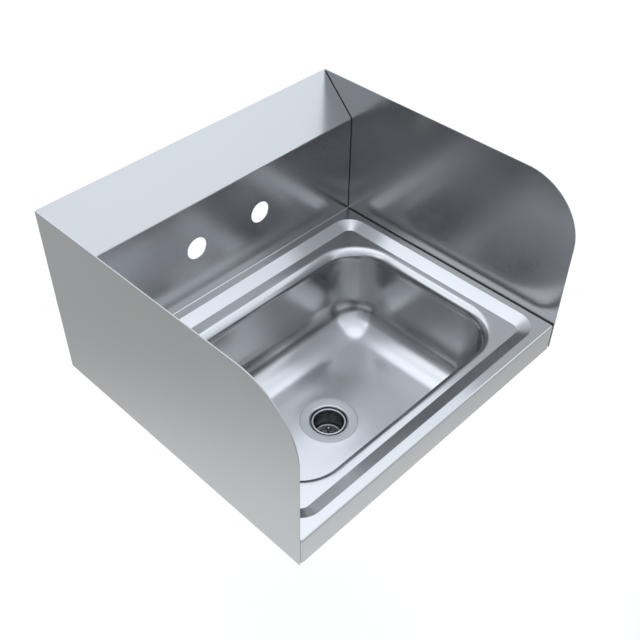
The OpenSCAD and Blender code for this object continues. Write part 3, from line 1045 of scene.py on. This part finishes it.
@dataclass(frozen=True)
class Bowl:
    """Deep drawn bowl under the rim, with a floor that falls to the drain's seat."""

    ring: RoundRing = RoundRing()
    sheet: float = 0.001
    lap: float = 0.0021
    straight: float = 0.006
    draft: float = 2.0
    draft_radius: float = 0.002
    floor_radius: float = 0.048
    fall: float = 0.0011
    squareness: int = 7
    seat: float = 0.0371
    seat_drop: float = 0.0024
    seat_edge: float = 0.0002
    seat_corner: float = 0.0006
    shoulder: float = 0.0036
    support: float = 0.0008
    hole: float = 0.026

    @property
    def top(self) -> float:
        """Depth of the top edge below the deck, where it laps the lip of the rim."""
        return LAYOUT.drop + LAYOUT.rim + LAYOUT.lip - self.lap

    def _wall(self) -> Points:
        """Works out the wall's profile: straight, then drafted, then the radius to the floor.

        Returns:
            Rows of (inset, height) from the top edge to the edge of the floor.
        """
        bend, foot = 24, LAYOUT.bowl_depth - self.top
        slant = (foot - self.straight) * math.tan(math.radians(self.draft))
        line = rounded([(0, 0, 0), (0, -self.straight, self.draft_radius),
                        (slant, -foot, self.floor_radius),
                        (slant + self.floor_radius, -foot, 0)], steps=bend)
        split = bend + 2
        step = np.linspace(0, 1, 9)[1:-1, None]
        wall = line[split - 1] + step * (line[split] - line[split - 1])
        return np.vstack([line[:split], wall, line[split:-1]])

    def _rise(self, flat: Points, half: Points) -> Points:
        """Height of the floor above its lowest level.

        The distance from the drain is a rounded maximum of |x| and |y| as shares of the floor's
        half sizes, which leaves four faces that meet in soft creases, eased at both ends. The
        last row of points lies round the seat, at the lowest level.

        Args:
            flat: Grid of points, as x and y from the drain's axis.
            half: Half sizes of the floor.

        Returns:
            The heights, in the grid's rows and columns.
        """
        share = ((np.abs(flat) / half) ** self.squareness).sum(-1) ** (1 / self.squareness)
        share = np.clip((share - share[-1]) / (1 - share[-1]), 0, 1)
        return self.fall * share * share * (3 - 2 * share)

    def build(self) -> None:
        """Builds the bowl and its finish."""
        wall = self._wall()
        inset = LAYOUT.rim - LAYOUT.sheet + wall[:, 0]
        half_x, half_y = (size - inset for size in LAYOUT.mouth)
        rows = self.ring.rings(half_x, half_y, LAYOUT.mouth_corner - inset, LAYOUT.bowl_y,
                               LAYOUT.deck_top - self.top + wall[:, 1])
        spoke = rows[-1, :, :2] - np.array(LAYOUT.drain)
        angle = np.arctan2(spoke[:, 1], spoke[:, 0])
        rim = self.seat + self.shoulder
        share = np.linspace(0, 1, 29)[:, None, None]
        flat = spoke + share * (rim * headings(angle) - spoke)
        lift = self._rise(flat, np.array([half_x[-1], half_y[-1]]))
        rows[..., 2] += lift[0] * (wall[:, 1:] / wall[-1, 1]) ** 3
        floor = np.dstack([flat + np.array(LAYOUT.drain), LAYOUT.floor + lift])
        press = rounded([(rim, 0, 0), (self.seat + self.support, 0, 0), (self.seat, 0, self.seat_edge),
                         (self.seat, -self.seat_drop, self.seat_corner),
                         (self.hole, -self.seat_drop, 0)], steps=4)[1:]
        seat = around(press[:, :1], angle, LAYOUT.floor + press[:, 1:]) + (*LAYOUT.drain, 0)
        piece = weld("drawn_bowl", rows, floor, np.concatenate([floor[-1:], seat]),
                     facing=(0, 0, 1))
        thicken(piece, self.sheet)
        dress(piece, Finish.DRAWN, "bowl")


# Side splashes and their gaskets

@dataclass(frozen=True)
class SideSplash:
    """One flat side splash with its joint gasket, studs, washers and nuts."""

    side: Side
    corner: float = 0.0008
    front_corner: float = 0.0762
    strip_back: float = 0.0008
    strip_band: float = 0.012
    stud: float = 0.0025
    stud_length: float = 0.012
    stud_tip: float = 0.0006
    stud_drop: float = 0.020
    stud_front: float = 0.037
    stud_rear: float = 0.045
    flange_studs: Pair = (0.040, 0.105)
    thread_depth: float = 0.0004
    pitch: float = 0.0008
    washer_radius: float = 0.0065
    washer_slack: float = 0.0002
    washer_thickness: float = 0.001
    nut_flat: float = 0.004
    nut_height: float = 0.004

    def _points(self) -> Points:
        """Places the studs, three through the skirt and the rest through the flange.

        Returns:
            Their places on the panel, as rows of y and z.
        """
        skirt = LAYOUT.deck_top - self.stud_drop
        flange = -(LAYOUT.gap + LAYOUT.flange_behind) / 2
        return np.array([(LAYOUT.front + self.stud_front, skirt), (LAYOUT.bowl_y, skirt),
                         (-LAYOUT.gap - self.stud_rear, skirt)]
                        + [(flange, LAYOUT.deck_top + rise) for rise in self.flange_studs])

    def _copies(self, name: str, node: str, local: Points, close_rows: bool = True) -> None:
        """Makes one piece of the same shape at every stud, pointing in from the panel.

        Args:
            name: Name of the piece, after the side's.
            node: The CAD node that it stands for, after the side's.
            local: Grid of points with +Z along the stud.
            close_rows: True if the grid's last row joins its first.
        """
        turned = np.stack([LAYOUT.panel_inside - local[..., 2], local[..., 0], local[..., 1]], -1)
        copies = [(turned + (0, y, z)) * (self.side.value, 1, 1) for y, z in self._points()]
        piece = weld(f"{self.side}_{name}", *copies, close_rows=close_rows)
        soften(piece, edge=0.0001, angle=35)
        dress(piece, Finish.FASTENER, f"{self.side}_{node}")

    def panel(self) -> None:
        """Builds the flat panel with its large front top radius."""
        low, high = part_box(f"{self.side}_side_splash")
        outline = rounded([(low.y, low.z, self.corner), (high.y, low.z, self.corner),
                           (high.y, high.z, self.corner), (low.y, high.z, self.front_corner)],
                          steps=24, closed=True)
        inside = LAYOUT.panel_inside
        piece = plate(f"{self.side}_splash_panel", self.side, outline, inside,
                      inside + LAYOUT.sheet, edge=0.0003)
        even_shading(piece)
        dress(piece, Finish.SHEET_UPRIGHT, f"{self.side}_side_splash")

    def gasket(self) -> None:
        """Builds the dark strip in the joint, a little below the sheet's visible edge."""
        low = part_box(f"{self.side}_joint_gasket")[0]
        back, slope = self.strip_back, LAYOUT.return_slope
        fold = LAYOUT.deck_top + LAYOUT.fold - back * math.hypot(1, slope)
        behind, upright, flat = -LAYOUT.flange_behind, back - LAYOUT.gap, LAYOUT.deck_top - back
        at_back, at_wall, at_face = (fold + (y + LAYOUT.gap) * slope
                                     for y in (behind, -back, upright))
        small, fine = 0.001, 0.0005
        outline = rounded(
            [(low.y, low.z, small), (behind, low.z, small),
             (behind, at_back - self.strip_band, 2 * small),
             (-back, at_wall - self.strip_band, fine), (-back, at_wall, fine),
             (upright, at_face, small), (upright, flat, small), (low.y, flat, small)],
            steps=3, closed=True)
        piece = plate(f"{self.side}_joint_strip", self.side, outline, LAYOUT.half_width,
                      LAYOUT.panel_inside, edge=0.0002)
        dress(piece, Finish.RUBBER, f"{self.side}_joint_gasket")

    def fasteners(self) -> None:
        """Builds the threaded studs, the washers and the nuts."""
        flat_end, point = (0.75, 0.75, 1), (0, 0, 1)
        body = thread(self.stud, self.thread_depth, self.pitch, 0,
                      self.stud_length - self.stud_tip, steps=24, per_turn=6)
        tip = body[-1:] * flat_end + (0, 0, self.stud_tip)
        self._copies("threaded_studs", "splash_studs",
                     np.concatenate([body[:1] * point, body, tip, tip * point]), close_rows=False)
        under = LAYOUT.joint + LAYOUT.sheet
        seat = under + self.washer_thickness
        ring = washer(self.stud + self.washer_slack, self.washer_radius, under, seat, steps=36)
        self._copies("flat_washers", "splash_washers", ring)
        nut = hexagon(self.nut_flat, self.stud + LAYOUT.thread_slack, seat,
                      seat + self.nut_height, steps=6)
        self._copies("hex_nuts", "splash_nuts", nut)

    def build(self) -> None:
        """Builds the panel, its gasket and its fasteners."""
        self.panel()
        self.gasket()
        self.fasteners()


# What hangs the sink on the wall

@dataclass(frozen=True)
class Hanging:
    """Hang rail under the return, offset wall bracket and the two low wall tabs."""

    rail_sheet: float = 0.0015
    rail_radius: float = 0.0025
    rail_leg: float = 0.024
    bracket_sheet: float = 0.002
    bracket_ledge: float = 0.015
    bracket_edge: float = 0.0006
    bracket_holes: HoleRow = HoleRow((-0.1524, -0.0508, 0.0508, 0.1524), 0.0034, 0.008)
    tab_sheet: float = 0.0016
    tab_radius: float = 0.0026
    tab_width: float = 0.026
    tab_screw: float = 0.200
    tab_hole: HoleRow = HoleRow((-0.173,), 0.0034, 0.006, 8)

    def rail(self) -> None:
        """Builds the rail: upright leg at the wall, tight bend, leg under the return."""
        low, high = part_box("hang_rail")
        hidden, lean = LAYOUT.return_under, math.atan(LAYOUT.return_slope)
        reach = self.rail_leg + self.rail_radius * math.tan((math.pi / 2 + lean) / 2)
        path = rounded([(0, low.z, 0), (0, hidden, self.rail_radius),
                        (-reach * math.cos(lean), hidden - reach * math.sin(lean), 0)], steps=14)
        skin = Skin()
        skin.grid(ALONG_X.place(np.linspace(low.x, high.x, 25), path))
        piece = skin.object("welded_hang_rail", facing=(0, 1, 0))
        thicken(piece, self.rail_sheet)
        dress(piece, Finish.MILL, "hang_rail")

    def bracket(self) -> None:
        """Builds the bracket: a joggled strip with four screw holes."""
        low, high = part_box("wall_bracket")
        holes, soft = self.bracket_holes, self.bracket_edge
        ledge, face = self.bracket_ledge, -self.bracket_sheet
        lip = low.y - face
        back = rounded([(0, holes.margin, 0), (0, ledge, soft), (lip, ledge, soft),
                        (lip, high.z, soft), (low.y, high.z, soft), (low.y, ledge + face, 3 * soft),
                        (face, ledge + face, soft), (face, holes.margin, 0)], steps=4)
        foot = rounded([(face, -holes.margin, 0), (face, low.z, soft), (0, low.z, soft),
                        (0, -holes.margin, 0)], steps=4)
        across = stretch([-holes.margin, holes.margin], [holes.steps])
        stations = ALONG_X.stations((low.x, high.x), holes, [4, 8, 8, 8, 4])
        wall_side = np.stack([np.zeros_like(across), across], -1)
        front = wall_side + (face, 0)
        skin = Skin()
        rings = ALONG_X.skin(skin, stations, wall_side, 0, holes)
        ALONG_X.skin(skin, stations, front, 0, holes)
        for ring in rings:
            skin.grid(np.stack([ring, ring + (0, face, 0)]), close_columns=True)
        skin.grid(ALONG_X.place(stations, back))
        skin.grid(ALONG_X.place(stations, foot))
        section = np.vstack([wall_side[:-1], back[:-1], front[:0:-1], foot[:-1]])
        for x in (low.x, high.x):
            skin.cap(ALONG_X.place(np.array([x]), section)[:, 0])
        piece = skin.object("offset_wall_bracket")
        soften(piece, edge=0.0002)
        dress(piece, Finish.MILL, "wall_bracket")

    def tabs(self) -> None:
        """Builds the two low angles, each with a screw hole in its leg on the wall."""
        low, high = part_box("wall_tabs")
        inside, hole = LAYOUT.panel_inside, self.tab_hole
        first, last = self.tab_screw + hole.margin, self.tab_screw - hole.margin
        bend = rounded([(inside, -self.tab_width, 0), (inside, 0, self.tab_radius), (first, 0, 0)],
                       steps=8)
        leg = stretch([first, last, inside - self.tab_width], [hole.steps, 1])[1:]
        path = np.vstack([bend, np.stack([leg, np.zeros_like(leg)], -1)])
        skin = Skin()
        for side in Side:
            band = Band((0, 0, 1), (side.value, 0, 0), (0, 1, 0))
            stations = band.stations((low.z, high.z), hole, [2, 2])
            band.skin(skin, stations, path, len(bend) - 1, hole)
        piece = skin.object("low_wall_tabs", facing=(0, 1, 0))
        thicken(piece, self.tab_sheet)
        dress(piece, Finish.MILL, "wall_tabs")

    def build(self) -> None:
        """Builds the rail, the bracket and the tabs."""
        self.rail()
        self.bracket()
        self.tabs()


# Drain and waste

@dataclass(frozen=True)
class Drain:
    """Flanged drain body, its seals and nuts, the lift-out cup and the waste tube.

    Shapes are turned around the origin, with heights from the bowl's floor, and then carried to
    the drain's axis.
    """

    flange: float = 0.0369
    flange_under: float = 0.0019
    flange_edge: float = 0.0002
    support: float = 0.0008
    dish: float = 0.0005
    throat: float = 0.0233
    roll: float = 0.0026
    dish_radius: float = 0.004
    groove: float = 0.0065
    shelf: float = 0.0032
    shelf_radius: float = 0.0214
    bore: float = 0.02045
    height: float = 0.046
    neck: float = 0.0256
    neck_foot: float = 0.0054
    thread_radius: float = 0.02413
    thread_depth: float = 0.0009
    pitch: float = 0.00221
    seal_inside: float = 0.026
    seal_back: float = 0.0009
    locknut_flat: float = 0.030
    locknut_levels: Pair = (-0.0158, -0.0078)
    tube: float = 0.01905
    tube_wall: float = 0.0009
    tube_flange: float = 0.0226
    tube_flange_thickness: float = 0.0015
    tube_flare: float = 0.0035
    tube_end: float = 0.00025
    tube_top: float = 0.048
    coupling_flat: float = 0.0285
    coupling_web: float = 0.003
    coupling_slack: float = 0.0003
    cup: float = 0.0193
    cup_lip: float = 0.0218
    cup_lip_top: float = 0.0024
    cup_roll: float = 0.0011
    cup_heel: float = 0.003
    cup_sheet: float = 0.0008
    cup_floor: float = 0.0306
    cup_holes: tuple[tuple[int, float], ...] = ((8, 0.0072), (12, 0.0126))
    cup_hole: float = 0.0016
    cup_margin: float = 0.0027
    cup_steps: int = 96
    stem: float = 0.0015
    rivet: Pair = (0.0026, 0.0008)
    collar: Pair = (0.0032, 0.001)
    ball: float = 0.003
    ball_rise: float = 0.0137

    def _piece(self, name: str, *grids: Points, close_rows: bool = False,
               facing: Optional[Triple] = None) -> Piece:
        """Welds grids into a piece at the drain's axis, with heights from the bowl's floor."""
        place = (*LAYOUT.drain, LAYOUT.floor)
        return weld(name, *(grid + place for grid in grids), close_rows=close_rows, facing=facing)

    def body(self) -> None:
        """Builds the drain body: dished flange, rolled throat, shelf and outside thread."""
        fine, step, soft = self.flange_edge, 0.0001, 0.0003
        inside = rounded(
            [(self.thread_radius, -self.height, 0), (self.bore, -self.height, 2 * fine),
             (self.bore, -self.shelf - step, soft), (self.shelf_radius, -self.shelf, soft),
             (self.shelf_radius, -self.groove, fine), (self.throat, -self.groove, fine),
             (self.throat, -self.dish, self.roll),
             (self.throat + self.roll, -self.dish, self.dish_radius),
             (self.flange - self.support, -step, 0), (self.flange, -step, fine),
             (self.flange, -self.flange_under, fine), (self.neck, -self.flange_under, fine),
             (self.neck, -self.neck_foot, fine), (self.thread_radius, -self.neck_foot, 0)], steps=8)
        outside = thread(self.thread_radius, self.thread_depth, self.pitch, -self.height,
                         -self.neck_foot)
        piece = self._piece("threaded_drain_body", lathe(inside, 72), outside)
        even_shading(piece)
        dress(piece, Finish.FITTING, "drain_body")

    def rings(self) -> None:
        """Builds the seal, the gasket, the slip ring and the tube's washer.

        Each row gives the name, inner and outer radius, depth of the upper face, thickness,
        finish and CAD node.
        """
        outer, slack, most = self.flange - self.seal_back, 0.0002, 0.0004
        table = (
            ("flange_seal_ring", self.seal_inside, outer, self.flange_under, 0.0005,
             Finish.RUBBER, "flange_seal"),
            ("under_bowl_gasket", self.neck + slack, outer, 0.0034, 0.0032,
             Finish.RUBBER, "drain_gasket"),
            ("slip_ring", self.thread_radius + slack, self.flange - 0.003, 0.0066, 0.0012,
             Finish.FIBRE, "friction_ring"),
            ("tube_washer", self.tube, self.tube_flange, self.height, 0.002,
             Finish.PLASTIC, "tailpiece_washer"),
        )
        for name, inner, reach, top, thickness, finish, node in table:
            ring = washer(inner, reach, -top, -top - thickness)
            piece = self._piece(name, ring, close_rows=True)
            soften(piece, edge=min(most, thickness / 4))
            dress(piece, finish, node)

    def locknut(self) -> None:
        """Builds the hexagonal locknut under the slip ring."""
        nut = hexagon(self.locknut_flat, self.thread_radius + LAYOUT.thread_slack,
                      *self.locknut_levels, turn=30)
        piece = self._piece("hex_locknut", nut, close_rows=True)
        soften(piece, edge=0.0005, angle=25)
        dress(piece, Finish.CAST, "locknut")

    def cup_wall(self) -> None:
        """Builds the strainer cup: rolled lip, straight wall and a floor with rings of holes."""
        inner, outer = self.cup_holes
        between = (inner[1] + outer[1]) / 2
        rim, core, bottom = outer[1] + self.cup_margin, inner[1] - self.cup_margin, -self.cup_floor
        top, droop, width, blend = -self.cup_lip_top, 0.0002, 0.001, 0.002
        wall = rounded([(self.cup_lip, top - droop, 0), (self.cup_lip - width, top, blend),
                        (self.cup, top, self.cup_roll), (self.cup, bottom, self.cup_heel),
                        (rim, bottom, 0)], steps=8)
        middle = np.linspace(core, self.stem + 0.0001, 3)
        flat = np.stack([middle, np.full_like(middle, bottom)], -1)
        piece = self._piece("perforated_cup", lathe(wall, self.cup_steps),
                            *self._holes(rim, between, *outer), *self._holes(between, core, *inner),
                            lathe(flat, self.cup_steps), facing=(0, 0, 1))
        thicken(piece, self.cup_sheet, edge=0.0001)
        dress(piece, Finish.CUP, "strainer_cup", body="strainer")

    def _holes(self, outer: float, inner: float, count: int, radius: float) -> list[Points]:
        """Ring of the cup's floor with one hole in each of its equal sectors.

        Args:
            outer: Outer radius of the ring.
            inner: Inner radius of the ring.
            count: Number of holes.
            radius: Radius of the circle that the holes lie on.

        Returns:
            One grid for each hole, drawn in from the sector's edge.
        """
        reach = np.linspace(outer, inner, 7)[:, None]
        sector = np.linspace(-0.5, 0.5, self.cup_steps // count + 1) * 2 * math.pi / count
        grids = []
        for turn in full_turn(count):
            cell = around(reach, turn + sector, -self.cup_floor)
            middle = np.array([*(radius * headings(turn)), -self.cup_floor])
            grids.append(round_hole(cell, self.cup_hole, middle))
        return grids

    def post(self) -> None:
        """Builds the post: rivet head, collar, stem and ball knob, turned as one line."""
        floor = -self.cup_floor
        ball, foot, head = floor + self.ball_rise, floor - self.cup_sheet, floor + self.collar[1]
        rivet, collar, stem = self.rivet[0], self.collar[0], self.stem
        rivet_foot = foot - self.rivet[1]
        shank = rounded([(0, rivet_foot, 0), (rivet, rivet_foot, 0.0005), (rivet, foot, 0.0002),
                         (stem, foot, 0), (stem, floor, 0), (collar, floor, 0.0003),
                         (collar, head, 0.0004), (stem, head, 0.0006),
                         (stem, ball - self.ball - 0.0001, 0)], steps=5)
        start = math.degrees(math.asin(stem / self.ball)) - 90
        knob = arc((0, ball), self.ball, start, 90, 28)
        piece = self._piece("lifting_post", lathe(np.vstack([shank, knob]), 48))
        even_shading(piece)
        dress(piece, Finish.CUP, "strainer_post", body="strainer")

    def tailpiece(self) -> None:
        """Builds the thin waste tube with its turned flange."""
        tube, top, bore = self.tube, -self.tube_top, self.tube - self.tube_wall
        under = top - self.tube_flange_thickness
        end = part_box("tailpiece")[0].z - LAYOUT.floor
        mouth, fine, flare = 0.0006, 0.0003, 0.0002
        section = rounded([(bore, top, mouth), (self.tube_flange, top, fine),
                           (self.tube_flange, under, fine), (tube + flare, under, flare / 2),
                           (tube, under - self.tube_flare, 0), (tube, end, self.tube_end),
                           (bore, end, self.tube_end)], steps=5, closed=True)
        piece = self._piece("flanged_waste_tube", lathe(section), close_rows=True)
        even_shading(piece)
        dress(piece, Finish.PLATED, "tailpiece")

    def coupling(self) -> None:
        """Builds the coupling nut: hexagon above, with a web under the tube's flange."""
        low, high = (corner.z - LAYOUT.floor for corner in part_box("coupling_nut"))
        bore = self.thread_radius + LAYOUT.thread_slack
        shell = hexagon(self.coupling_flat, bore, low, high, turn=30)
        draw = (self.tube + self.coupling_slack) / bore
        web = shell[:1] * (draw, draw, 1)
        inner = shell[-1:] * (1, 1, 0) + (0, 0, low + self.coupling_web)
        section = np.concatenate([web, shell[1:], inner, web + (0, 0, self.coupling_web)])
        piece = self._piece("hex_coupling_nut", section, close_rows=True)
        soften(piece, edge=0.0007, angle=25, segments=3)
        dress(piece, Finish.PLATED, "coupling_nut", slot="chromed_nut")

    def build(self) -> None:
        """Builds the whole drain."""
        self.body()
        self.rings()
        self.locknut()
        self.cup_wall()
        self.post()
        self.tailpiece()
        self.coupling()


# Studio

@dataclass(frozen=True)
class Studio:
    """Pale floor, soft lights and the camera at the photograph's angle."""

    azimuth: float = -45.0
    elevation: float = 43.043
    target: Triple = (0.00746, -0.16946, -0.153)
    distance: float = 1.09524
    focal_pixels: float = 909.248
    image_pixels: float = 640
    centre_pixels: Pair = (303.527, 320.439)
    sensor: float = 36.0
    floor_below: float = 0.35
    floor_size: float = 40.0
    floor_roughness: float = 0.7
    floor_near: Triple = (0.835, 0.805, 0.755)
    # Tone of the floor beyond the lines: painted shade, a falloff of light away from the sink.
    floor_painted_shade: Triple = (0.45, 0.433, 0.398)
    bay: tuple[tuple[Triple, float], ...] = (((-0.854, 0.52, 0), 0.40), ((0.30, -0.954, 0), 0.57))
    bay_fade: float = 0.40
    daylight: Triple = (0.94, 1.0, 1.09)
    horizon: float = 0.68
    washes: tuple[tuple[Triple, float, float], ...] = (
        ((0, 0, 1), 1, 0.32), ((0, 0, 1), 3, 0.53), ((1, 0, 0), 1, 0.28), ((0, 1, 0), 1, 0.62))
    aim: Triple = (0.0, -0.2, -0.15)
    softboxes: tuple[tuple[str, Triple, Pair, float], ...] = (
        ("front_right", (1.3, -1.8, 1.3), (2.4, 2.0), 3.8),
        ("overhead", (0.15, 0.0, 1.5), (1.4, 1.4), 1.55),
        ("back_left", (-1.6, 0.9, 1.5), (1.8, 1.4), 3.1),
        ("back_low", (0.1, 1.6, 1.0), (1.6, 0.8), 1.65),
        ("left", (-1.8, 0.1, 1.0), (1.6, 1.4), 1.25))

    def camera(self) -> None:
        """Puts the camera where the photograph was taken from."""
        data = bpy.data.cameras.new("camera")
        data.sensor_width = self.sensor
        data.lens = self.focal_pixels * self.sensor / self.image_pixels
        half = self.image_pixels / 2
        data.shift_x = (half - self.centre_pixels[0]) / self.image_pixels
        data.shift_y = (self.centre_pixels[1] - half) / self.image_pixels
        data.clip_start = 0.01
        turn, rise = math.radians(self.azimuth), math.radians(self.elevation)
        back = np.array([math.sin(turn) * math.cos(rise), -math.cos(turn) * math.cos(rise),
                         math.sin(rise)])
        camera = bpy.data.objects.new("camera", data)
        camera.location = np.array(self.target) + self.distance * back
        camera.rotation_euler = (math.pi / 2 - rise, 0, turn)
        bpy.context.scene.collection.objects.link(camera)
        bpy.context.scene.camera = camera

    def floor(self) -> None:
        """Lays a pale floor below the waste tube, with painted shade: it grows greyer beyond two
        lines, a painted falloff of light away from the sink.

        The distance past a line is the dot product of the place and the line's normal, less the
        line's offset, and the larger of the two distances sets the tone.
        """
        height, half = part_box("tailpiece")[0].z - self.floor_below, self.floor_size / 2
        corners = [(-half, -half, height), (half, -half, height), (half, half, height),
                   (-half, half, height)]
        piece = weld("floor", caps=[np.array(corners)], facing=(0, 0, 1))
        material = bpy.data.materials.new("pale_floor")
        nodes = Nodes(material)
        beyond = nodes.math("MAXIMUM", *(nodes.math("SUBTRACT", nodes.along("Object", normal), offset)
                                         for normal, offset in self.bay))
        # Painted shade on the floor, greyer beyond the lines.
        fade = nodes.ramp(beyond, (0, self.bay_fade), kind="SMOOTHSTEP")
        nodes.surface(Base_Color=nodes.tint(fade, self.floor_near, self.floor_painted_shade),
                      Roughness=self.floor_roughness)
        piece.data.materials.append(material)

    def world(self) -> None:
        """Lights the scene from all around as a white tent does, brighter above and behind.

        The strength is the horizon's plus, for each wash, its share times the direction's
        dot product with the wash, where positive, to the wash's power.
        """
        world = bpy.data.worlds.new("tent")
        nodes = Nodes(world, "ShaderNodeOutputWorld")
        strength = self.horizon
        for way, power, share in self.washes:
            facing = nodes.math("MAXIMUM", nodes.along("Generated", way), 0)
            strength = nodes.math("MULTIPLY_ADD", nodes.math("POWER", facing, power), share, strength)
        tent = {"Color": (*self.daylight, 1), "Strength": strength}
        nodes.end(nodes.add("ShaderNodeBackground", tent))
        bpy.context.scene.world = world

    def softbox(self, name: str, place: Triple, size: Pair, power: float) -> None:
        """Hangs one rectangular light that faces the sink.

        Args:
            name: Name of the light.
            place: Where it hangs.
            size: Width and height.
            power: Power in watts.
        """
        light = bpy.data.lights.new(name, "AREA")
        light.shape = "RECTANGLE"
        light.size, light.size_y = size
        light.energy = power
        lamp = bpy.data.objects.new(name, light)
        lamp.location = place
        x, y, z = np.array(self.aim) - np.array(place)
        lamp.rotation_euler = (math.atan2(math.hypot(x, y), -z), 0, math.atan2(y, x) - math.pi / 2)
        bpy.context.scene.collection.objects.link(lamp)

    def build(self) -> None:
        """Sets up the camera, the floor and the lights."""
        self.camera()
        self.floor()
        self.world()
        bpy.context.scene.view_settings.view_transform = "Standard"
        for box in self.softboxes:
            self.softbox(*box)


def main() -> None:
    """Builds every sub-assembly in order, then the studio."""
    logging.basicConfig(level=logging.INFO, format="%(name)s: %(message)s")
    for part in (Deck(), Bowl(), *(SideSplash(side) for side in Side), Hanging(), Drain(), Studio()):
        part.build()


if __name__ == "__main__":
    main()
